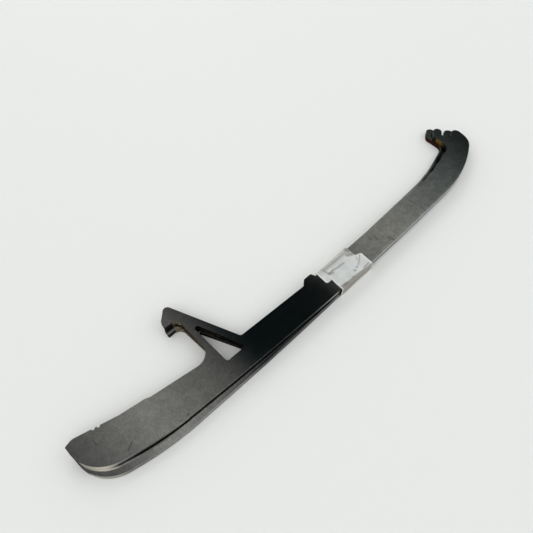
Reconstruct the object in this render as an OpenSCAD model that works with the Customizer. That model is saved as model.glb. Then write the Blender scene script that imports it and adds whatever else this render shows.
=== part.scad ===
// A pair of hockey skate runners, laid face to face and bound by one strip of tape.
// X runs from heel to toe, Y from the running edge towards the boot, Z up.
// The origin is under the middle of the tape, on the surface that the pair lies on.
// Profile sizes are taken from the heel end or the toe end, and from the ice line,
// which touches the running edge at its lowest point.

/* [Steel] */
// Length of a runner from heel to toe
runner_length = 291.6; // [275:0.1:310]
// Thickness of the steel
steel_thickness = 2.9; // [2.4:0.1:4]

/* [Running edge] */
// Radius of the rocker along the running edge
rocker_radius = 2000; // [1500:10:4000]
// Lowest point of the rocker, from the heel end
rocker_low = 134; // [130:0.5:150]
// Start of the rocker, from the heel end
rocker_start = 46; // [42:0.5:60]
// End of the rocker, from the toe end
rocker_stop = 51.6; // [46:0.1:60]
// Radius of the hollow ground across the running edge
hollow_radius = 12.7; // [9.5:0.1:25]
// Steel that the grinding takes off the cut edge
grind_depth = 0.02; // [0.01:0.01:0.05]

/* [Heel] */
// Height of the heel's top corner
heel_height = 27.9; // [25:0.1:30]
// Rounding of the heel's top corner
heel_corner_round = 0.4; // [0.1:0.1:1]
// Height of the crown beside the heel's top corner
crown_height = 29; // [28:0.1:31]
// Crown from the heel end
crown_from_heel = 3.8; // [2.5:0.1:6]
// Rounding of the crown
crown_round = 4; // [1:0.1:6]
// Slope of the top edge below the crown, in degrees
heel_slope = 14; // [10:0.5:16]
// Start of the seat pad, from the heel end
pad_start = 24.5; // [20:0.5:28]
// End of the seat pad, from the heel end
pad_end = 37; // [34:0.5:44]
// Rounding at the start of the seat pad
pad_round = 10; // [2:0.5:20]
// Slope of the seat pad, in degrees
pad_slope = 8; // [5:0.5:10]
// Length of the small step behind the seat pad
step_run = 2.2; // [1:0.1:4]
// Drop of the small step behind the seat pad
step_drop = 0.95; // [0.4:0.05:1.5]
// Rounding of the small step
step_round = 1; // [0.2:0.1:1.5]
// Slope of the top edge from the step to the arm, in degrees
shelf_slope = 7.5; // [4:0.5:9]
// Height at which the heel ramp would meet the heel end
ramp_height = 10.2; // [9:0.1:13]
// Slope of the heel ramp, in degrees
ramp_slope = 13.5; // [11:0.5:16]
// Rounding between heel end and heel ramp
heel_round = 18; // [8:0.5:18]
// Rounding between heel ramp and rocker
ramp_round = 150; // [60:5:150]
// First nick in the top edge, from the heel end
nick_from_heel = 13.1; // [11:0.1:16]
// Distance between the two nicks
nick_spacing = 2.3; // [2:0.1:4]
// Radius of the nicks
nick_radius = 0.75; // [0.4:0.05:0.9]

/* [Latch arm] */
// Heel-side edge of the arm, from the heel end
arm_from_heel = 72.9; // [68:0.1:80]
// Width of the arm's foot
arm_width = 16.4; // [14:0.1:20]
// Lean of the arm's toe-side edge, in degrees
arm_lean = 22.2; // [18:0.2:26]
// Rounding at the heel side of the arm's foot
arm_fillet = 8; // [3:0.5:10]
// Rounding at the toe side of the arm's foot
arm_foot_round = 1.5; // [0.5:0.1:4]
// Rounding of the arm's top
arm_top_round = 2.2; // [1:0.1:3]
// Height of the hook's underside
hook_height = 44.6; // [40:0.1:47]
// Reach of the hook from the arm's edge
hook_reach = 7.3; // [5.5:0.1:9]
// Height of the hook's blunt nose
hook_nose = 3.9; // [2:0.1:5]
// Lean of the hook's blunt nose
nose_lean = 0.6; // [0:0.1:1.5]
// Rounding over the hook's blunt nose
nose_top_round = 1.5; // [0.5:0.1:2]
// Rounding of the hook's tip
tip_round = 0.5; // [0.2:0.1:1]
// Slope of the hook's back, in degrees
hook_back = 45; // [40:1:50]
// Rounding of the throat under the hook
throat_round = 4; // [2:0.1:4.5]
// Width of the post beside the window
post_width = 2.7; // [2:0.1:4]
// Width of the strut beside the window
strut_width = 3.6; // [2.5:0.1:4.5]
// Height of the window's lower edge
window_height = 10.3; // [8:0.1:13]
// Rounding of the window's corners
window_round = 1.25; // [0.6:0.05:1.5]

/* [Boss and top edges] */
// Height of the middle top edge where it leaves the arm
mid_height = 15.9; // [14.5:0.1:18]
// Fall of the middle top edge towards the boss, in degrees
mid_slope = 1.55; // [0:0.05:2.5]
// Start of the boss, from the heel end
boss_from_heel = 131.9; // [126:0.1:134]
// Length of the boss's ramp
boss_ramp = 2.8; // [1.5:0.1:4]
// Length of the boss's flat top
boss_top = 5; // [3:0.1:7]
// Length of the boss's steep side
boss_side = 1.1; // [0.5:0.1:2]
// Height of the boss's top
boss_height = 17.5; // [16.5:0.1:20]
// Rounding of the boss
boss_round = 1; // [0.3:0.1:1.3]
// Height of the front top edge beside the boss
front_height = 14.8; // [13.5:0.1:16]
// Rise of the front top edge, in degrees
front_slope = 1.2; // [0:0.1:2.5]
// Bend of the front top edge, from the toe end
front_bend = 47.6; // [42:0.1:55]
// Rise of the top edge past the bend, in degrees
front_rise = 13.8; // [10:0.2:18]
// Rounding of the bend
bend_round = 120; // [40:5:140]

/* [Toe hook] */
// Centre of the notch, from the toe end
notch_from_toe = 8.4; // [7.5:0.1:10]
// Height of the notch's centre
notch_height = 32.4; // [30:0.1:36]
// Radius of the notch
notch_radius = 3; // [2.2:0.1:3.4]
// Direction of the notch's mouth, in degrees
notch_angle = 32; // [25:1:40]
// Thickness of the toe hook
toe_hook_thickness = 5.2; // [4:0.1:6]
// Reach of the toe hook past the notch's centre
toe_hook_reach = 1.6; // [0.5:0.1:3]
// Width of the toe hook's neck
neck_width = 5.2; // [4:0.1:7]
// Angle of the neck's inner edge, in degrees
neck_angle = 84; // [78:1:90]
// Rounding of the toe hook's back
hook_back_round = 4; // [2:0.1:5]
// Rounding where the neck meets the top edge
neck_round = 5.5; // [3:0.1:7]
// Radius of the nose's lip
lip_radius = 3; // [2:0.1:3.6]
// Angle of the nose's front, in degrees
nose_angle = 78; // [70:1:84]
// Rounding under the nose
nose_round = 13.5; // [8:0.5:14]
// Foot of the toe rise, from the toe end
toe_foot = 27.8; // [25:0.1:32]
// Slope of the toe rise, in degrees
toe_rise = 30; // [26:0.5:34]
// Rounding between rocker and toe rise
toe_round = 95; // [40:1:95]

/* [Tape] */
// Width of the tape
tape_width = 24; // [18:0.5:26]
// Thickness of the tape
tape_thickness = 0.2; // [0.1:0.05:0.4]
// Middle of the tape, from the heel end
tape_from_heel = 155.5; // [154.5:0.1:165]
// Middle of the tape, from the ice line
tape_height = 8; // [7:0.1:9]
// First end of the tape, from the ice line
tape_first_end = 7.3; // [5:0.1:8]
// Free end of the tape, from the ice line
tape_free_end = 10.2; // [9.5:0.1:13]
// Lean of the wrap, in degrees
tape_lean = 5; // [0:0.2:6]
// Left edge of the first end, from the middle of the tape
tape_start = -14; // [-15:0.1:-12]

/* [Stack] */
// Turn of the lower runner under the upper one, in degrees
skew = 1.94; // [0:0.02:2]
// Slip of the lower runner towards the toe
slip_x = 0.7; // [0:0.1:1]
// Slip of the lower runner towards the boot
slip_y = 0.3; // [0:0.1:0.8]
// Room between tape and the lower runner's edges
side_clearance = 0.4; // [0.2:0.05:0.6]
// Room between tape and the upper runner's face
face_clearance = 0.1; // [0.05:0.05:0.3]
// Room between tape and the upper runner's edges, for its swing
swing_clearance = 0.55; // [0.5:0.05:1]

/* [Hidden] */

// Steps of the drawn arcs, in degrees and in millimetres
arc_step = 5;
chord_step = 4;
// Sides of a nick's whole circle
nick_sides = 24;
// Sides of a whole turn of the grinding ring, across and along the edge
grind_sides = 120;
rocker_sides = 1440;
// Largest share of an edge that a rounding takes
edge_share = 0.96;

function unit(a) = [cos(a), sin(a)];
function angle_to(p, q) = atan2(q.y - p.y, q.x - p.x);
// Point where the line through p at angle a meets the line through q at angle b
function meet(p, a, q, b) = p + unit(a) * cross(q - p, unit(b)) / cross(unit(a), unit(b));
// Height of a line through p at angle a, above x
function height_at(p, a, x) = p.y + (x - p.x) * tan(a);
// Points of an arc about c
function arc(c, r, from, to) =
    let (n = ceil(max(abs(to - from) / arc_step, abs(to - from) * r * PI / 180 / chord_step)))
    [for (i = [0:n]) c + r * unit(from + (to - from) * i / n)];
// Turn from angle a to angle b, between -180 and 180
function turn(a, b) = let (d = b - a) d - 360 * round(d / 360);
// Length that a rounding r takes off each side of a corner that turns by a
function reach(r, a) = r * tan(abs(a) / 2);
// Points of the corner q between p and s, rounded by r
function rounded(p, q, s, r) =
    let (
        t = turn(angle_to(p, q), angle_to(q, s)),
        side = sign(t),
        first = q + reach(r, t) * unit(angle_to(q, p)),
        centre = first + side * r * unit(angle_to(p, q) + 90)
    )
    r == 0 ? [q] : arc(centre, r, angle_to(p, q) - side * 90, angle_to(p, q) - side * 90 + t);
// Outline through corners [x, y, rounding]
function outline(c) =
    let (n = len(c))
    [for (i = [0:n - 1])
        let (q = c[i], p = c[(i + n - 1) % n], s = c[(i + 1) % n])
        each rounded([p.x, p.y], [q.x, q.y], [s.x, s.y], q.z)];
function corner(p, r = 0) = [p.x, p.y, r];

// Rocker: its ends, and its slopes there
start_angle = asin((rocker_start - rocker_low) / rocker_radius);
stop_angle = asin((runner_length - rocker_stop - rocker_low) / rocker_radius);
rocker_centre = [rocker_low, rocker_radius];
start_point = rocker_centre + rocker_radius * unit(start_angle - 90);
stop_point = rocker_centre + rocker_radius * unit(stop_angle - 90);

// Toe hook: notch, hook tip and nose lip are round about these centres
mouth = unit(notch_angle);
across = unit(notch_angle + 90);
notch_centre = [runner_length - notch_from_toe, notch_height];
tip_radius = toe_hook_thickness / 2;
tip_centre = notch_centre + toe_hook_reach * mouth + (notch_radius + tip_radius) * across;
tip_back = tip_centre + tip_radius * across;
lip_x = runner_length - lip_radius;
lip_drop = notch_radius + lip_radius;
lip_y = notch_height + ((lip_x - notch_centre.x) * sin(notch_angle) - lip_drop) / cos(notch_angle);
lip_centre = [lip_x, lip_y];
nose_point = lip_centre + lip_radius * unit(nose_angle - 90);
neck_point = [notch_centre.x - notch_radius - neck_width, notch_height];

// Corners of the running edge, from heel to toe
ramp_top = [0, ramp_height];
heel_top = [0, heel_height];
ramp_foot = meet(ramp_top, -ramp_slope, start_point, start_angle);
rocker_corner = meet(start_point, start_angle, stop_point, stop_angle);
toe_corner_x = runner_length - toe_foot;
toe_corner = [toe_corner_x, height_at(stop_point, stop_angle, toe_corner_x)];
nose_corner = meet(toe_corner, toe_rise, nose_point, nose_angle);
// A rounding is no larger than the shorter of the straight edges beside it allows
function fitted(r, a, rooms) = min(r, edge_share * min(rooms) / tan(abs(a) / 2));
ramp_rooms = [
    norm(ramp_foot - ramp_top) - reach(heel_round, 90 - ramp_slope),
    norm(ramp_foot - start_point)
];
ramp_fitted = fitted(ramp_round, start_angle + ramp_slope, ramp_rooms);
toe_rooms = [
    norm(toe_corner - stop_point),
    norm(toe_corner - nose_corner) - reach(nose_round, nose_angle - toe_rise)
];
toe_fitted = fitted(toe_round, toe_rise - stop_angle, toe_rooms);

// Corners of the boss and the top edges
arm_foot = [arm_from_heel + arm_width, mid_height];
boss_start = [boss_from_heel, height_at(arm_foot, -mid_slope, boss_from_heel)];
boss_left = [boss_from_heel + boss_ramp, boss_height];
boss_right = boss_left + [boss_top, 0];
boss_end = [boss_right.x + boss_side, front_height];
bend_x = runner_length - front_bend;
bend = [bend_x, height_at(boss_end, front_slope, bend_x)];

// Corners of the latch arm
tip = [arm_from_heel - hook_reach, hook_height];
nose_top = tip + [nose_lean, hook_nose];
arm_top = meet(arm_foot, 90 + arm_lean, nose_top, hook_back);
throat = [arm_from_heel, hook_height];

// Corners of the heel's top edge
crown = [crown_from_heel, crown_height];
pad_left = [pad_start, height_at(crown, -heel_slope, pad_start)];
pad_right = [pad_end, height_at(pad_left, -pad_slope, pad_end)];
step_foot = pad_right + [step_run, -step_drop];
shelf_end = [arm_from_heel, height_at(step_foot, -shelf_slope, arm_from_heel)];

// The runner's outline before grinding, counter-clockwise from the heel
profile = concat(
    [
        corner(ramp_top, heel_round),
        corner(ramp_foot, ramp_fitted),
        corner(rocker_corner),
        corner(toe_corner, toe_fitted),
        corner(nose_corner, nose_round)
    ],
    [for (p = arc(lip_centre, lip_radius, nose_angle - 90, notch_angle + 90)) corner(p)],
    [for (p = arc(notch_centre, notch_radius, notch_angle - 90, notch_angle - 270)) corner(p)],
    [for (p = arc(tip_centre, tip_radius, notch_angle - 90, notch_angle + 90)) corner(p)],
    [
        corner(meet(tip_back, notch_angle, neck_point, neck_angle), hook_back_round),
        corner(meet(neck_point, neck_angle, bend, front_rise), neck_round),
        corner(bend, bend_round),
        corner(boss_end),
        corner(boss_right, boss_round),
        corner(boss_left, boss_round),
        corner(boss_start, boss_round),
        corner(arm_foot, arm_foot_round),
        corner(arm_top, arm_top_round),
        corner(nose_top, nose_top_round),
        corner(tip, tip_round),
        corner(throat, throat_round),
        corner(shelf_end, arm_fillet),
        corner(step_foot, step_round),
        corner(pad_right, step_round),
        corner(pad_left, pad_round),
        corner(crown, crown_round),
        corner(heel_top, heel_corner_round)
    ]
);

// The window is a right triangle whose slanted side follows the arm's
window_x = arm_from_heel + post_width;
strut_point = arm_foot + strut_width * unit(180 + arm_lean);
window = [
    corner([window_x, window_height], window_round),
    corner(meet([window_x, window_height], 0, strut_point, 90 + arm_lean), window_round),
    corner(meet([window_x, window_height], 90, strut_point, 90 + arm_lean), window_round)
];

// Heights of the stack
lower_base = tape_thickness;
upper_base = lower_base + steel_thickness;
first_layer = upper_base + steel_thickness + face_clearance;
free_layer = first_layer + tape_thickness;

// Edges of the two runners beside the tape, each through a point and at an angle
function turned(p, a) = [p.x * cos(a) - p.y * sin(a), p.x * sin(a) + p.y * cos(a)];
slip = [slip_x, slip_y];
boot_edge = [0, height_at(boss_end, front_slope, tape_from_heel) - tape_height];
running_angle = asin((tape_from_heel - rocker_low) / rocker_radius);
running_edge = [0, rocker_radius * (1 - cos(running_angle)) - tape_height];
lower_boot_edge = turned(boot_edge, skew) + slip;
lower_running_edge = turned(running_edge, skew) + slip;

// Middle of the tape's thickness at its two walls
function boot_wall(x) = tape_thickness / 2 + max(
    height_at(boot_edge, front_slope, x) + swing_clearance,
    height_at(lower_boot_edge, front_slope + skew, x) + side_clearance
);
function running_wall(x) = -tape_thickness / 2 + min(
    height_at(running_edge, running_angle, x) - swing_clearance,
    height_at(lower_running_edge, running_angle + skew, x) - side_clearance
);

// Left and right corner of the strip where it folds, by its length from the first end
first_y = tape_first_end - tape_height;
free_y = tape_free_end - tape_height;
to_boot_top = boot_wall(0) - first_y;
to_boot_foot = to_boot_top + first_layer;
to_running_foot = to_boot_foot + boot_wall(0) - running_wall(0);
to_running_top = to_running_foot + free_layer;
to_free_end = to_running_top + free_y - running_wall(0);
function sides(length) = [for (x = [0, tape_width]) tape_start + length * tan(tape_lean) + x];
first_end = [for (x = sides(0)) [x, first_y]];
boot_top = [for (x = sides(to_boot_top)) [x, boot_wall(x)]];
boot_foot = [for (x = sides(to_boot_foot)) [x, boot_wall(x)]];
running_foot = [for (x = sides(to_running_foot)) [x, running_wall(x)]];
running_top = [for (x = sides(to_running_top)) [x, running_wall(x)]];
free_end = [for (x = sides(to_free_end)) [x, free_y]];

// Cut blank with its window and the two nicks
module blank() {
    difference() {
        polygon(outline(profile));
        polygon(outline(window));
        for (i = [0, 1]) {
            x = nick_from_heel + i * nick_spacing;
            translate([x, height_at(crown, -heel_slope, x)]) circle(nick_radius, $fn = nick_sides);
        }
    }
}

// Ring that grinds the rocker and its hollow, from end to end of the rocker
wheel_offset = sqrt(hollow_radius ^ 2 - (steel_thickness / 2) ^ 2) - grind_depth;
module ground_hollow() {
    translate([rocker_centre.x, rocker_centre.y, steel_thickness / 2])
        rotate(start_angle - 90)
            rotate_extrude(angle = stop_angle - start_angle, $fn = rocker_sides)
                translate([rocker_radius + wheel_offset, 0]) circle(hollow_radius, $fn = grind_sides);
}

// One runner, lying with its face down on z = 0
module runner() {
    translate([-tape_from_heel, -tape_height, 0])
        difference() {
            linear_extrude(steel_thickness) blank();
            ground_hollow();
        }
}

module upper_runner() {
    color("dimgray") translate([0, 0, upper_base]) runner();
}

module lower_runner() {
    color("gray") translate([slip_x, slip_y, lower_base]) rotate(skew) runner();
}

// One stretch of the strip lying flat at height z, between two corners on each side
module flat_stretch(near, far, z) {
    translate([0, 0, z])
        linear_extrude(tape_thickness)
            polygon([near[0], near[1], far[1], far[0]]);
}

// One stretch of the strip standing on edge over its foot, leaning towards the toe or the heel
module wall_stretch(foot, height, way) {
    lean = way * height * tan(tape_lean);
    length = norm(foot[1] - foot[0]);
    translate([foot[0].x, foot[0].y, tape_thickness / 2])
        rotate([90, 0, angle_to(foot[0], foot[1])])
            linear_extrude(tape_thickness, center = true)
                polygon([[0, 0], [length, 0], [length + lean, height], [lean, height]]);
}

module tape_wrap() {
    color("whitesmoke") {
        flat_stretch(boot_foot, running_foot, 0);
        wall_stretch(boot_foot, first_layer, -1);
        wall_stretch(running_foot, free_layer, 1);
        flat_stretch(first_end, boot_top, first_layer);
        flat_stretch(free_end, running_top, free_layer);
    }
}

upper_runner();
lower_runner();
tape_wrap();
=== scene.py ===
"""Looks of a taped pair of hockey skate runners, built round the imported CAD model.

Names that end in _mm hold millimetres. The part lies along X, heel to toe, with the boot
side towards +Y, and rests on z = 0 with the middle of the tape over the origin.
"""
import math

import bmesh
import bpy
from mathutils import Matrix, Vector, noise


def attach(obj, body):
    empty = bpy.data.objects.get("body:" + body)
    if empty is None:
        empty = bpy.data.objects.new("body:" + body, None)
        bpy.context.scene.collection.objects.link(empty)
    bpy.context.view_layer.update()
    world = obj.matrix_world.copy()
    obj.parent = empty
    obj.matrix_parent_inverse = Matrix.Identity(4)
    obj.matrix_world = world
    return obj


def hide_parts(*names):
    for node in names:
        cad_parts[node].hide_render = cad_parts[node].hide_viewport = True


MM = 0.001

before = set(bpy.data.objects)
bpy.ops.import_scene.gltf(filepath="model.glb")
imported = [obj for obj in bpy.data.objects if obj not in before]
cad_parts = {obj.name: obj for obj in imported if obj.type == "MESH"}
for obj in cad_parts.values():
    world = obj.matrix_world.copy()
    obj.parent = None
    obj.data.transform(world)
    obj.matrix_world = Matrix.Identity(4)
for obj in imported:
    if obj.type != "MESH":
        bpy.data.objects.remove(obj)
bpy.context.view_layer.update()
scene = bpy.context.scene
scene.view_settings.view_transform = "Standard"

# How the lower runner lies under the upper one
skew = math.radians(1.94)
slip_mm = (0.7, 0.3)
# Heel end and ice line of the upper runner, from the origin
heel_mm = -155.5
ice_mm = -8.0


# Shader graphs

# Span of a noise that holds most of its values
MIDDLE = (0.3, 0.7)


class Graph:
    """Adds nodes to one shader and links them; most calls return the socket that they make."""

    def __init__(self, tree):
        self.tree = tree
        tree.nodes.clear()

    def node(self, kind, inputs=(), **settings):
        made = self.tree.nodes.new(kind)
        for name, value in settings.items():
            setattr(made, name, value)
        for name, value in dict(inputs).items():
            self.feed(made.inputs[name], value)
        return made

    def feed(self, socket, value):
        if isinstance(value, bpy.types.NodeSocket):
            self.tree.links.new(value, socket)
        else:
            socket.default_value = value

    def math(self, operation, a, b=0.0, clamp=False):
        made = self.node("ShaderNodeMath", {0: a, 1: b}, operation=operation, use_clamp=clamp)
        return made.outputs[0]

    def plus(self, a, b):
        return self.math("ADD", a, b)

    def minus(self, a, b):
        return self.math("SUBTRACT", a, b)

    def times(self, product, *factors):
        for factor in factors:
            product = self.math("MULTIPLY", product, factor)
        return product

    def larger(self, a, b):
        return self.math("MAXIMUM", a, b)

    def without_sign(self, value):
        return self.math("ABSOLUTE", value)

    def vector_math(self, operation, a, b=(0, 0, 0)):
        made = self.node("ShaderNodeVectorMath", {0: a, 1: b}, operation=operation)
        return made.outputs[1 if operation in ("DISTANCE", "DOT_PRODUCT") else 0]

    def scaled(self, vector, x, y, z):
        return self.vector_math("MULTIPLY", vector, (x, y, z))

    def lengthened(self, vector, share):
        made = self.node("ShaderNodeVectorMath", {0: vector, "Scale": share}, operation="SCALE")
        return made.outputs[0]

    def split(self, vector):
        return self.node("ShaderNodeSeparateXYZ", {0: vector}).outputs

    def step(self, value, low, high, from_value=0.0, to_value=1.0):
        """Smooth change from one value to the other while the input goes from low to high."""
        made = self.node(
            "ShaderNodeMapRange",
            {
                "Value": value,
                "From Min": low,
                "From Max": high,
                "To Min": from_value,
                "To Max": to_value,
            },
            interpolation_type="SMOOTHSTEP",
        )
        return made.outputs[0]

    def fall(self, value, low, high):
        """Smooth change from 1 to 0 while the input goes from low to high."""
        return self.step(value, low, high, 1.0, 0.0)

    def noise(self, vector, scale, detail=2.0, roughness=0.5, distortion=0.0):
        made = self.node(
            "ShaderNodeTexNoise",
            {
                "Vector": vector,
                "Scale": scale,
                "Detail": detail,
                "Roughness": roughness,
                "Distortion": distortion,
            },
        )
        return made.outputs[0]

    def mix(self, factor, a, b):
        made = self.node("ShaderNodeMix", data_type="RGBA")
        self.feed(made.inputs[0], factor)
        self.feed(made.inputs[6], a)
        self.feed(made.inputs[7], b)
        return made.outputs[2]

    def ramp(self, value, stops):
        """Colours at the given places between 0 and 1, with straight changes between them."""
        made = self.node("ShaderNodeValToRGB", {0: value})
        line = made.color_ramp.elements
        while len(line) < len(stops):
            line.new(0.5)
        for mark, (place, colour) in zip(line, stops):
            mark.position = place
            mark.color = (*colour, 1)
        return made.outputs[0]

    def bump(self, height, distance, strength):
        inputs = {"Height": height, "Distance": distance, "Strength": strength}
        return self.node("ShaderNodeBump", inputs).outputs[0]

    def object_place(self):
        return self.node("ShaderNodeTexCoord").outputs["Object"]

    def facing(self):
        """The three parts of the direction that the surface faces."""
        return self.split(self.node("ShaderNodeNewGeometry").outputs["Normal"])


def new_material(name):
    material = bpy.data.materials.new(name)
    material.use_nodes = True
    return material, Graph(material.node_tree)


def grey(level):
    return (level, level, level, 1)


def near_line(g, place, start, end, reach, fade):
    """1 within reach of the straight line from start to end, in millimetres, fading to 0."""
    run = Vector((end[0] - start[0], end[1] - start[1], 0))
    off = g.vector_math("SUBTRACT", g.scaled(place, 1, 1, 0), (start[0], start[1], 0))
    passed = g.vector_math("DOT_PRODUCT", off, tuple(run))
    share = g.math("DIVIDE", passed, run.length_squared, clamp=True)
    foot = g.lengthened(tuple(run), share)
    return g.fall(g.vector_math("DISTANCE", off, foot), reach, reach + fade)


def near_path(g, place, points, reach, fade):
    """The same for a path of straight lines."""
    mask = 0.0
    for start, end in zip(points, points[1:]):
        mask = g.larger(mask, near_line(g, place, start, end, reach, fade))
    return mask


# Steel

# Places on a runner are given from its heel end and its ice line, in millimetres

# Stretches along a runner over which its look changes, among them those of its painted highlight,
# sheen, shade and dark reflection
heel_tone_mm = (6.0, 40.0)
heel_curve_mm = (12.0, 30.0)
heel_ground_mm = (10.0, 14.0)
heel_highlight_mm = (9.0, 15.0)
heel_shade_mm = (10.0, 22.0)
wall_shade_start_mm = (8.0, 13.0)
belt_start_mm = (60.0, 190.0)
dark_reflection_start_mm = (65.0, 95.0)
dark_reflection_end_mm = (125.0, 160.0)
sheen_start_mm = (150.0, 185.0)

# Scratches and small dents on the upper face, and a painted shade line along its boot edge: path and
# half width
scratches_and_edge_shade = [
    ([(18.6, 8.4), (21.7, 10.2)], 0.2),
    ([(10.2, 21.8), (10.3, 19.9)], 0.2),
    ([(45.9, 3.0), (46.5, 3.1)], 0.35),
    ([(180.7, 13.1), (180.3, 10.1)], 0.25),
    ([(183.4, 10.5), (182.9, 8.0)], 0.25),
    ([(188.3, 4.7), (189.0, 3.0), (189.4, 1.7)], 0.35),
    # Painted shade along the boot edge, beside the lower plate's thin strip
    ([(207.0, 16.4), (220.0, 16.9), (232.0, 17.4)], 0.3),
    ([(241.8, 16.5), (243.0, 15.0)], 0.1),
    ([(261.0, 13.4), (262.6, 12.4)], 0.1),
]
# Painted shade on the lower face beside the upper runner's toe, darkest next to its edge: path, reach
# and strength
toe_shade = [
    ([(230.0, 14.7), (243.0, 16.1)], 0.8, 0.6),
    ([(241.0, 15.8), (253.3, 17.4)], 1.1, 0.85),
    ([(251.0, 17.0), (263.6, 19.8)], 1.5, 1.0),
    ([(261.0, 19.1), (273.4, 22.4)], 2.4, 1.0),
    ([(272.6, 37.1), (273.0, 32.7), (274.2, 29.2)], 1.8, 0.9),
]
# Walls that the heat of the cut left brown or orange: path, reach and colour
heat_tints = [
    ([(72.9, 41.0), (72.9, 24.0)], 0.5, (0.06, 0.04, 0.018)),
    ([(71.4, 43.9), (72.7, 42.8)], 0.9, (0.24, 0.19, 0.11)),
]
upper_tints = heat_tints + [([(273.0, 28.9), (274.4, 33.0)], 0.8, (0.2, 0.105, 0.012))]
lower_tints = heat_tints + [([(272.8, 27.5), (275.2, 36.5)], 1.2, (0.035, 0.01, 0.003))]
# Long wall of the window, and the stretch of it that has rust
window_wall = [(76.6, 38.5), (87.5, 11.8)]
rusty_wall = [(77.0, 37.5), (82.6, 23.8)]
rust_height_mm = 3.5

# Near black, for painted shade in corners, gaps and at the foot of walls
painted_shade = grey(0.006)
# Deeper painted shade for the window's long wall
window_shade = grey(0.001)
# For scratches, and for the painted shade line along the boot edge
dark_mark_tone = grey(0.2)
# Warm tone of the painted heel highlight
heel_highlight_tone = (0.66, 0.62, 0.51, 1)
dark_skin = grey(0.004)
light_skin = (0.022, 0.019, 0.015, 1)
rust_tone = (0.07, 0.055, 0.025, 1)


def runner_place(g, turn, slip):
    """Place on a runner in millimetres: from its heel end, from its ice line, and up."""
    x = -slip[0] * math.cos(turn) - slip[1] * math.sin(turn)
    y = slip[0] * math.sin(turn) - slip[1] * math.cos(turn)
    made = g.node(
        "ShaderNodeMapping",
        {
            "Vector": g.object_place(),
            "Location": (x - heel_mm, y - ice_mm, 0),
            "Rotation": (0, 0, -turn),
            "Scale": (1 / MM, 1 / MM, 1 / MM),
        },
    )
    return made.outputs[0]


def wall_masks(g, along, over):
    """Where the surface is a wall of the plate, and which walls are still as cut."""
    facing = g.facing()
    wall = g.fall(g.without_sign(facing[2]), 0.8, 0.97)
    # The running edge is ground bright, from the heel curve to the nose, where it climbs
    nose_start_mm = 258.0
    nose_climb = 0.85
    climbed = g.times(g.larger(g.minus(along, nose_start_mm), 0.0), nose_climb)
    ground = g.larger(g.fall(facing[1], -0.6, -0.45), g.fall(along, *heel_ground_mm))
    ground = g.times(ground, g.fall(g.minus(over, climbed), 16.0, 20.0))
    as_cut = g.times(wall, g.minus(1.0, ground))
    return wall, as_cut


def belt_marks(g, place, along):
    """Marks of the grinding belt across the plate, clearer towards the toe."""
    belt = g.noise(g.scaled(place, 1.5, 0.07, 0.1), 1.0, 5.0, 0.75)
    return g.times(belt, g.step(along, *belt_start_mm, 0.3, 1.0))


def edge_sheen(g, along, over):
    """Painted sheen: gain in brightness beside the toe half's running edge."""
    edge_rise = 0.0003
    past = g.larger(g.minus(along, sheen_start_mm[0]), 0.0)
    from_edge = g.minus(over, g.times(past, past, edge_rise))
    return g.times(g.step(from_edge, 0.0, 3.0, 0.3, 0.0), g.step(along, *sheen_start_mm))


def ground_steel(g, place, wall, belt, tones, wall_darkening, wall_shade_top_mm):
    """Colour of the ground steel: satin faces, and walls darker than the faces, with painted
    highlight, shade and dark reflection.
    """
    along, over, up = g.split(place)
    blotch = g.noise(place, 0.22, 4.0, 0.6, 0.5)
    grain = g.noise(g.scaled(place, 1.7, 0.5, 0.5), 1.0, 4.0, 0.75)
    level = g.times(
        g.step(blotch, *MIDDLE, 0.49, 0.61),
        g.step(along, *heel_tone_mm, *tones),
        g.step(grain, *MIDDLE, 0.84, 1.16),
        g.step(belt, 0.35, 0.7, 1.03, 0.82),
        # Painted sheen beside the toe half's running edge
        g.plus(1.0, edge_sheen(g, along, over)),
    )
    # Walls are darker than the faces: least round the heel, adding to the painted highlight, and most
    # in the middle before the tape, a painted dark reflection
    dark_reflection = g.times(g.step(along, *dark_reflection_start_mm, 0.0, 0.4), g.fall(along, *dark_reflection_end_mm))
    darkening = g.plus(g.step(along, *heel_curve_mm, *wall_darkening), dark_reflection)
    level = g.times(level, g.minus(1.0, g.times(wall, darkening)))
    # The walls of the heel curve get a painted warm highlight
    heel_highlight = g.times(wall, g.step(along, *heel_highlight_mm, 1.0 - wall_darkening[0], 0.0))
    colour = g.mix(heel_highlight, level, heel_highlight_tone)
    # Painted shade low on the running wall, where it meets the plate below, past the heel curve
    low = g.fall(up, wall_shade_top_mm, wall_shade_top_mm + 0.7)
    return g.mix(g.times(wall, low, g.step(along, *wall_shade_start_mm)), colour, painted_shade)


def cut_steel(g, place, streak, tints):
    """Colour of the walls as cut: a dark skin with streaks, heat tints in inner corners, and painted
    shade on the window's long wall.
    """
    up = g.split(place)[2]
    skin = g.mix(g.step(streak, 0.35, 0.7), dark_skin, light_skin)
    fleck = g.step(g.noise(place, 0.9, 3.0, 0.6), 0.35, 0.6)
    for path, reach, tint in tints:
        heated = g.times(near_path(g, place, path, reach, 1.2), fleck)
        skin = g.mix(heated, skin, (*tint, 1))
    # The window's long wall gets a deeper painted shade, with rust just above the seam of the two
    # plates
    skin = g.mix(near_path(g, place, window_wall, 0.6, 1.0), skin, window_shade)
    seam = g.fall(g.without_sign(g.minus(up, rust_height_mm)), 0.2, 0.9)
    rust = g.times(seam, near_path(g, place, rusty_wall, 0.6, 1.0), fleck)
    return g.mix(rust, skin, rust_tone)


def corner_shade(g, along, wall):
    """Painted shade in the corners where one plate stands on the other, mostly on the faces."""
    inputs = {"Distance": 2.0 * MM}
    open_sky = g.node("ShaderNodeAmbientOcclusion", inputs, samples=8).outputs["AO"]
    off_walls = g.minus(1.0, g.times(wall, 0.9))
    return g.times(g.fall(open_sky, 0.62, 0.78), g.step(along, *heel_shade_mm, 0.15, 1.0), off_walls)


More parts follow.
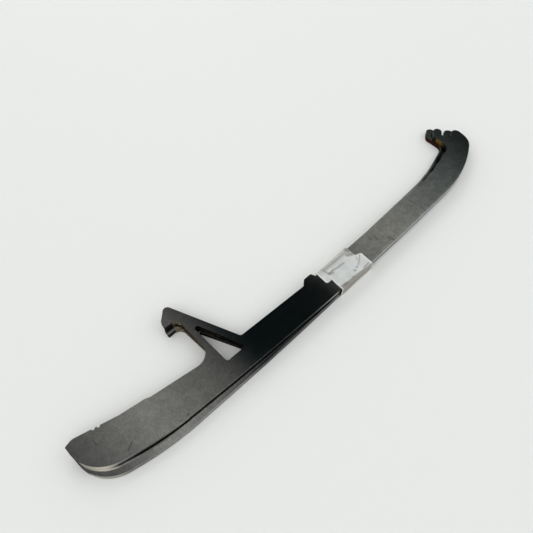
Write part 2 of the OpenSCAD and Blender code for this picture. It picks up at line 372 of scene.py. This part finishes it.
def steel(name, turn, slip, tones, wall_darkening, wall_shade_top_mm, marks, shade_bands, tints):
    """Satin steel plate: ground faces and running edge, and darker walls where it was cut.

    Tones and wall darkening are given at the heel and past it. Painted shade covers the running wall
    up to the given top height, so a height below the plate leaves the wall unshaded.
    """
    material, g = new_material(name)
    place = runner_place(g, turn, slip)
    along, over, _ = g.split(place)
    wall, as_cut = wall_masks(g, along, over)
    belt = belt_marks(g, place, along)
    streak = g.noise(g.scaled(place, 2.2, 2.2, 0.25), 1.0, 3.0, 0.6)
    smudge = g.noise(place, 0.045, 3.0, 0.55)

    colour = ground_steel(g, place, wall, belt, tones, wall_darkening, wall_shade_top_mm)
    # Scratches, and the painted shade line along the boot edge
    for path, width in marks:
        dark_mark = g.times(near_path(g, place, path, width, 0.35), 0.55)
        colour = g.mix(dark_mark, colour, dark_mark_tone)
    # Painted shade bands, each darkest along its path
    for path, reach, strength in shade_bands:
        shade_band = g.times(near_path(g, place, path, 0.0, reach), strength)
        colour = g.mix(shade_band, colour, painted_shade)
    colour = g.mix(as_cut, colour, cut_steel(g, place, streak, tints))
    # Painted shade in the corners between the plates
    colour = g.mix(corner_shade(g, along, wall), colour, painted_shade)

    rough = g.step(smudge, *MIDDLE, 0.075, 0.1)
    rough = g.plus(rough, g.times(wall, g.step(along, *heel_curve_mm, 0.3, 0.17)))
    rough = g.plus(rough, g.times(as_cut, 0.3))
    relief = g.plus(belt, g.times(streak, as_cut))
    surface = g.node(
        "ShaderNodeBsdfPrincipled",
        {
            "Base Color": colour,
            "Metallic": g.minus(1.0, g.times(as_cut, 0.6)),
            "Roughness": rough,
            "Specular IOR Level": 0.04,
            "Normal": g.bump(relief, 0.002 * MM, 0.6),
        },
    )
    g.node("ShaderNodeOutputMaterial", {0: surface.outputs[0]})
    return material


def dress_runner(name, material):
    """Steel for a runner, with its edges broken a little so that they catch the light."""
    broken_edge_mm = 0.08
    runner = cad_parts[name]
    mesh = runner.data
    mesh.materials.clear()
    mesh.materials.append(material)
    mesh.polygons.foreach_set("use_smooth", [True] * len(mesh.polygons))
    weld = runner.modifiers.new("weld", "WELD")
    weld.merge_threshold = 0.001 * MM
    flat = runner.modifiers.new("flat", "DECIMATE")
    flat.decimate_type = "DISSOLVE"
    flat.angle_limit = math.radians(0.2)
    bevel = runner.modifiers.new("broken_edge", "BEVEL")
    bevel.width = broken_edge_mm * MM
    bevel.segments = 2
    bevel.limit_method = "ANGLE"
    bevel.angle_limit = math.radians(35)
    shade = runner.modifiers.new("flat_faces", "WEIGHTED_NORMAL")
    shade.mode = "FACE_AREA"
    shade.weight = 100


upper_steel = steel(
    "upper_steel",
    turn=0.0,
    slip=(0.0, 0.0),
    tones=(0.9, 1.0),
    wall_darkening=(0.0, 0.2),
    wall_shade_top_mm=4.0,
    marks=scratches_and_edge_shade,
    shade_bands=[],
    tints=upper_tints,
)
lower_steel = steel(
    "lower_steel",
    turn=skew,
    slip=slip_mm,
    tones=(0.8, 1.25),
    wall_darkening=(0.6, 0.65),
    wall_shade_top_mm=-1.0,
    marks=[],
    shade_bands=toe_shade,
    tints=lower_tints,
)
dress_runner("upper_runner", upper_steel)
dress_runner("lower_runner", lower_steel)


# Tape

tape_width_mm = 24.0
tape_thick_mm = 0.2
# The strip runs askew round the pair, and the heel side of its first end starts at this x
tape_lean = math.tan(math.radians(4.6))
tape_start_mm = -14.15
# Place along the strip, about half-way, whose cross-section stands for the whole turn
section_mm = 24.0
fold_round_mm = 0.45
fold_steps = 6
# Heights of the middle of the strip where it lies flat: under the pair, and its two ends on top
under_level_mm = 0.1
first_level_mm = 6.2
free_level_mm = 6.4
# First end, with one round corner
first_end_mm = -0.7
corner_round_mm = 1.3
# Torn line of the free end, across the strip
free_end_line_mm = [
    (0.0, 2.3),
    (0.8, 2.6),
    (2.4, 2.7),
    (4.4, 2.2),
    (8.4, 1.9),
    (14.4, 2.0),
    (19.6, 2.1),
    (20.3, 1.3),
    (22.6, 0.6),
    (24.0, -0.2),
]
# Creases of the free end: points in x and y, height and half width, in millimetres
creases = [
    ([(11.4, -0.5), (7.9, -3.5), (4.2, -4.6), (2.0, -5.5)], 0.16, 0.35),
    ([(-2.0, -7.2), (4.0, -6.7), (11.5, -6.9)], 0.14, 0.3),
    ([(13.5, -3.0), (11.0, -5.4), (9.0, -6.6)], 0.08, 0.35),
    ([(-9.0, -4.0), (-5.5, -6.6)], 0.06, 0.4),
    ([(-6.0, 1.5), (-1.0, -1.0), (5.0, -1.6)], 0.05, 0.5),
]
# Dark marks on the tape, dirt and painted shade: path in x and y, half width, fade and strength
tape_dirt_and_shade = [
    # Painted shade along the edge of the layer beneath, at the free end's corner, and under its torn
    # edge
    ([(-9.6, 6.8), (-9.5, 5.0), (-9.0, 3.0)], 0.1, 1.1, 0.4),
    ([(-9.0, 2.4), (-7.4, 1.8)], 0.2, 1.4, 0.45),
    ([(-8.4, 2.6), (-6.4, 3.0), (-2.7, 2.1), (-0.1, 2.15), (1.6, 1.9)], 0.0, 1.0, 0.55),
    ([(-9.0, 6.0), (4.7, 6.1), (8.5, 6.0)], 0.1, 1.0, 0.3),
    ([(9.6, 6.9), (10.2, 6.0)], 0.4, 1.5, 0.65),
    ([(7.2, 4.2), (9.3, 3.1)], 0.3, 1.5, 0.6),
    ([(9.2, 5.6), (9.4, 4.2)], 0.1, 1.0, 0.35),
    # Painted shade in the free end's creases, in this and the next five
    ([(11.8, -0.1), (10.0, -1.8), (8.3, -3.0), (6.3, -3.9)], 0.0, 0.7, 0.5),
    ([(9.8, 0.2), (8.5, -1.4)], 0.0, 0.7, 0.35),
    ([(4.9, -4.4), (4.6, -4.5)], 0.2, 0.7, 0.5),
    ([(2.4, -5.1), (2.2, -5.2)], 0.3, 0.8, 0.5),
    ([(11.2, -7.0), (7.2, -7.25)], 0.1, 0.6, 0.55),
    ([(-1.6, -7.2), (-1.4, -7.3)], 0.2, 0.9, 0.4),
    ([(-8.6, -7.4), (-6.6, -7.7)], 0.2, 1.0, 0.5),
    ([(-8.6, -0.5), (-8.4, -6.0)], 0.5, 3.0, 0.1),
]
tape_tones = {
    "shade": (0.56, 0.585, 0.575, 1),
    "white": (0.67, 0.69, 0.675, 1),
    "one_layer": (0.37, 0.355, 0.325, 1),
    # Painted shade on the sides
    "side": (0.38, 0.36, 0.32, 1),
    # Painted shade on the running side, and its darker painted line
    "running_side_shade": (0.25, 0.235, 0.205, 1),
    "wrinkle": (0.1, 0.09, 0.075, 1),
    # Painted highlight
    "edge_highlight": (0.8, 0.81, 0.79, 1),
    # Dirt and painted shade
    "dirt_and_shade": (0.09, 0.08, 0.065, 1),
}


def boot_wall(x):
    """Middle of the strip beside the boot edges, which it runs along."""
    return 8.07 + 0.0413 * x


def running_wall(x):
    """Middle of the strip beside the running edges."""
    return -8.53 + 0.0108 * x


def between(line, x):
    """Height of a line of points at x."""
    for (x0, y0), (x1, y1) in zip(line, line[1:]):
        if x <= x1:
            return y0 + (y1 - y0) * max(x - x0, 0) / (x1 - x0)
    return line[-1][1]


def smooth(value, low, high):
    """Smooth change from 0 to 1 while the value goes from low to high."""
    share = min(max((value - low) / (high - low), 0), 1)
    return share * share * (3 - 2 * share)


def wrap_section(x, across):
    """Points of the wrap's cross-section in y and z, from the first end to the free end."""
    into_corner = max(corner_round_mm - across, 0)
    cut_back = corner_round_mm - math.sqrt(corner_round_mm**2 - into_corner**2)
    folds = [
        (first_end_mm + cut_back, first_level_mm),
        (boot_wall(x), first_level_mm),
        (boot_wall(x), under_level_mm),
        (running_wall(x), under_level_mm),
        (running_wall(x), free_level_mm),
        (between(free_end_line_mm, across), free_level_mm),
    ]
    points = [Vector(folds[0])]
    for before, fold, after in zip(folds, folds[1:], folds[2:]):
        into = (Vector(fold) - Vector(before)).normalized()
        out = (Vector(after) - Vector(fold)).normalized()
        centre = Vector(fold) + fold_round_mm * (out - into)
        for i in range(fold_steps + 1):
            turn = math.radians(90 * i / fold_steps)
            points.append(centre + fold_round_mm * (into * math.sin(turn) - out * math.cos(turn)))
    points.append(Vector(folds[-1]))
    return points


def even_points(points, count):
    """The same line again, as count equal steps, and its length."""
    steps = [(b - a).length for a, b in zip(points, points[1:])]
    total = sum(steps)
    made = []
    k = 0
    passed = 0.0
    for i in range(count + 1):
        want = total * i / count
        while k < len(steps) - 1 and passed + steps[k] < want:
            passed += steps[k]
            k += 1
        made.append(points[k].lerp(points[k + 1], min((want - passed) / steps[k], 1)))
    return made, total


def crease_height(x, y):
    """Height of the free end's creases at a place."""
    height = 0.0
    spot = Vector((x, y))
    for line, tall, half in creases:
        for start, end in zip(line, line[1:]):
            start = Vector(start)
            end = Vector(end)
            share = (spot - start).dot(end - start) / (end - start).length_squared
            foot = start.lerp(end, min(max(share, 0), 1))
            height = max(height, tall * (1 - smooth((spot - foot).length, 0, 2 * half)))
    return height


def ripple(x, y):
    """Height of the waves in the strip's top: long ones with short ones on them."""
    long_wave = 0.05 * noise.noise(Vector((0.28 * x, 0.28 * y, 3.0)))
    short_wave = 0.03 * noise.noise(Vector((0.9 * x, 0.7 * y, 8.0)))
    return max(long_wave + short_wave, 0.0)


def lift(x, y, z, across, to_end):
    """How far the strip stands up from its flat level on top of the pair."""
    sag_mm = 0.15
    curl_mm = 0.4
    if z < free_level_mm - fold_round_mm:
        return 0.0
    if z < free_level_mm - tape_thick_mm / 2:
        return ripple(x, y)
    # The free end sags between the running fold and the first end, and curls up where it is torn
    sag = -sag_mm * (1 - smooth(y, -2.2, -0.6)) * smooth(y, -8.2, -7.0)
    curled = smooth(across, 1.0, 4.0) * (1 - smooth(across, 9.0, 16.0))
    curl = curl_mm * (1 - smooth(to_end, 0, 2.2)) * curled
    return sag + curl + ripple(x, y) + crease_height(x, y)


def tape_strip():
    """The strip as one sheet, wrapped round both runners with its free end on top."""
    rows = 220
    columns = 96
    mesh = bmesh.new()
    flat = mesh.loops.layers.uv.new("flat")
    grid = [[None] * (columns + 1) for _ in range(rows + 1)]
    where = {}
    for j in range(columns + 1):
        across = tape_width_mm * j / columns
        start = tape_start_mm + across
        section_x = start + section_mm * tape_lean
        points, total = even_points(wrap_section(section_x, across), rows)
        for i in range(rows + 1):
            along = total * i / rows
            x = start + along * tape_lean
            y, z = points[i]
            # The boot side stays on the boot edges while the strip leans
            y += (boot_wall(x) - boot_wall(section_x)) * smooth(y, 0.0, 7.0)
            z += lift(x, y, z, across, total - along)
            grid[i][j] = mesh.verts.new((x * MM, y * MM, z * MM))
            where[grid[i][j]] = (across, along)
    for i in range(rows):
        for j in range(columns):
            corners = (grid[i][j], grid[i + 1][j], grid[i + 1][j + 1], grid[i][j + 1])
            face = mesh.faces.new(corners)
            face.smooth = True
            for loop in face.loops:
                loop[flat].uv = where[loop.vert]
    data = bpy.data.meshes.new("tape")
    mesh.to_mesh(data)
    mesh.free()
    return data


def shade_running_side(g, colour, across, along, wrinkle):
    """Painted shade on the running side, up to its upper fold, with a darker painted shade line along
    it.
    """
    fold_mm = (37.5, 38.8)
    # Place of the painted shade line, along the strip
    shade_line_mm = 34.9
    lowest = g.step(across, 4.0, 18.0, 30.0, 33.0)
    running_side_shade = g.times(g.step(g.minus(along, lowest), 0.0, 2.0), g.step(along, *fold_mm, 0.9, 0.0))
    colour = g.mix(running_side_shade, colour, tape_tones["running_side_shade"])
    off_shade_line = g.plus(g.minus(along, shade_line_mm), g.times(wrinkle, 1.2))
    dark = g.step(g.without_sign(off_shade_line), 0.2, 1.0, 0.75, 0.0)
    return g.mix(dark, colour, tape_tones["wrinkle"])


def tape_material():
    """White tape: greyer in one layer, with painted shade on its sides and in its creases, a painted
    highlight along its cut edges, and dirt.
    """
    material, g = new_material("white_tape")
    flat = g.node("ShaderNodeUVMap", uv_map="flat").outputs[0]
    across, along, _ = g.split(flat)
    place = g.scaled(g.object_place(), 1 / MM, 1 / MM, 1 / MM)
    cloud = g.noise(flat, 0.16, 4.0, 0.6, 0.4)
    thread = g.noise(g.scaled(flat, 0.5, 4.0, 1.0), 1.0, 2.0, 0.5)
    wrinkle = g.noise(g.scaled(flat, 0.12, 1.1, 1.0), 1.0, 4.0, 0.65, 0.5)
    colour = g.mix(g.step(cloud, *MIDDLE), tape_tones["shade"], tape_tones["white"])
    # One layer over the boot edges shows the dark steel through it
    one_layer = g.times(g.step(along, 4.0, 7.5), g.fall(along, 14.0, 18.0))
    one_layer = g.times(one_layer, g.step(wrinkle, 0.3, 0.65, 0.8, 0.4))
    colour = g.mix(one_layer, colour, tape_tones["one_layer"])
    # Painted shade: both sides are greyer than the top
    side = g.fall(g.without_sign(g.facing()[2]), 0.3, 0.75)
    side = g.times(side, g.step(wrinkle, 0.35, 0.6, 0.4, 0.9))
    colour = g.mix(side, colour, tape_tones["side"])
    # Painted shade on the running side
    colour = shade_running_side(g, colour, across, along, wrinkle)
    # Painted highlight along the cut edges of the strip
    edge_gap = g.math("MINIMUM", across, g.minus(tape_width_mm, across))
    colour = g.mix(g.times(g.fall(edge_gap, 0.3, 0.9), 0.65), colour, tape_tones["edge_highlight"])
    on_top = g.step(g.split(place)[2], 5.6, 6.0)
    # Dirt and painted shade on top
    for path, width, fade, strength in tape_dirt_and_shade:
        dirt_and_shade = g.times(near_path(g, place, path, width, fade), on_top, strength)
        colour = g.mix(dirt_and_shade, colour, tape_tones["dirt_and_shade"])
    relief = g.plus(thread, g.times(wrinkle, 2.0))
    surface = g.node(
        "ShaderNodeBsdfPrincipled",
        {
            "Base Color": colour,
            "Roughness": g.step(cloud, *MIDDLE, 0.38, 0.55),
            "Normal": g.bump(relief, 0.04 * MM, 0.6),
        },
    )
    g.node("ShaderNodeOutputMaterial", {0: surface.outputs[0]})
    return material


tape = bpy.data.objects.new("tape", tape_strip())
scene.collection.objects.link(tape)
tape.data.materials.append(tape_material())
thick = tape.modifiers.new("thickness", "SOLIDIFY")
thick.thickness = tape_thick_mm * MM
thick.offset = 0.0
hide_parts("tape_wrap")
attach(tape, "bound_runner")


# Floor, light and camera


def floor_material():
    """Pale, dull paint."""
    material, g = new_material("pale_floor")
    inputs = {"Base Color": (0.88, 0.895, 0.88, 1), "Roughness": 0.7}
    paint = g.node("ShaderNodeBsdfPrincipled", inputs)
    g.node("ShaderNodeOutputMaterial", {0: paint.outputs[0]})
    return material


def add_floor():
    """Plain floor under the part."""
    half_m = 8.0
    corners = [(-half_m, -half_m, 0), (half_m, -half_m, 0), (half_m, half_m, 0), (-half_m, half_m, 0)]
    mesh = bpy.data.meshes.new("floor")
    mesh.from_pydata(corners, [], [(0, 1, 2, 3)])
    mesh.materials.append(floor_material())
    floor = bpy.data.objects.new("floor", mesh)
    scene.collection.objects.link(floor)


# Level of the pale dome, and its stripe of panels and dark gaps: tilt along X and colour
dome_level = 0.97
stripe = [
    (-0.8, (dome_level, dome_level, dome_level)),
    (-0.25, (0.2, 0.2, 0.19)),
    (-0.05, (0.11, 0.11, 0.105)),
    (0.1, (0.31, 0.31, 0.29)),
    (0.2, (0.19, 0.19, 0.175)),
    (0.27, (0.115, 0.115, 0.11)),
    (0.33, (0.002, 0.006, 0.007)),
    (0.57, (0.003, 0.005, 0.005)),
    (0.66, (0.2, 0.2, 0.19)),
    (0.8, (0.33, 0.335, 0.3)),
    (1.0, (0.165, 0.18, 0.17)),
    (1.2, (0.01, 0.02, 0.018)),
    (1.3, (0.005, 0.005, 0.005)),
    (1.6, (0.2, 0.2, 0.2)),
    (2.2, (dome_level, dome_level, dome_level)),
]


def studio():
    """Surroundings: a pale dome with panels and dark gaps, which the flat faces mirror."""
    world = bpy.data.worlds.new("studio")
    world.use_nodes = True
    scene.world = world
    g = Graph(world.node_tree)
    direction = g.split(g.node("ShaderNodeTexCoord").outputs["Generated"])
    height = g.larger(direction[2], 0.2)
    tilt = g.math("DIVIDE", direction[0], height)
    lean = g.math("DIVIDE", direction[1], height)
    low = stripe[0][0]
    span = stripe[-1][0] - low
    panels = g.ramp(
        g.math("DIVIDE", g.minus(tilt, low), span),
        [((place - low) / span, colour) for place, colour in stripe],
    )
    # There is a stripe on each side of the top, clear of the horizon, the running side's brighter
    panels = g.lengthened(panels, g.step(lean, -0.1, 0.1, 2.2, 1.0))
    aside = g.without_sign(lean)
    on_stripe = g.times(g.step(aside, 0.1, 0.24), g.fall(aside, 0.7, 0.9))
    light = g.mix(on_stripe, grey(dome_level), panels)
    light = g.mix(g.step(direction[2], 0.15, 0.4), grey(dome_level), light)
    back = g.node("ShaderNodeBackground", {"Color": light, "Strength": 1.0})
    g.node("ShaderNodeOutputWorld", {0: back.outputs[0]})


def soft_lamp(name, place, size, power):
    """Round lamp at a place in metres, which shines at the origin."""
    lamp = bpy.data.lights.new(name, "AREA")
    lamp.shape = "DISK"
    lamp.size = size
    lamp.energy = power
    made = bpy.data.objects.new(name, lamp)
    made.location = place
    made.rotation_euler = Vector(place).to_track_quat("Z", "Y").to_euler()
    scene.collection.objects.link(made)


def add_camera():
    """Camera where the photo was taken from, with its picture half a pixel off centre."""
    picture_px = 533
    place_mm = (-145.0, -91.2, 231.4)
    tilt_deg = 36.5
    turn_deg = -44.14
    view_deg = 53.0
    half_pixel = 0.5 / picture_px
    lens = bpy.data.cameras.new("camera")
    lens.angle = math.radians(view_deg)
    lens.shift_x = -half_pixel
    lens.shift_y = half_pixel
    camera = bpy.data.objects.new("camera", lens)
    camera.location = [value * MM for value in place_mm]
    camera.rotation_euler = (math.radians(tilt_deg), 0, math.radians(turn_deg))
    scene.collection.objects.link(camera)
    scene.camera = camera


add_floor()
studio()
soft_lamp("overhead", (-0.6, -0.18, 1.2), 0.8, 0.8)
soft_lamp("back", (1.0, 1.75, 0.97), 1.5, 7.0)
soft_lamp("near", (0.9, -0.6, 0.8), 1.0, 1.0)
add_camera()
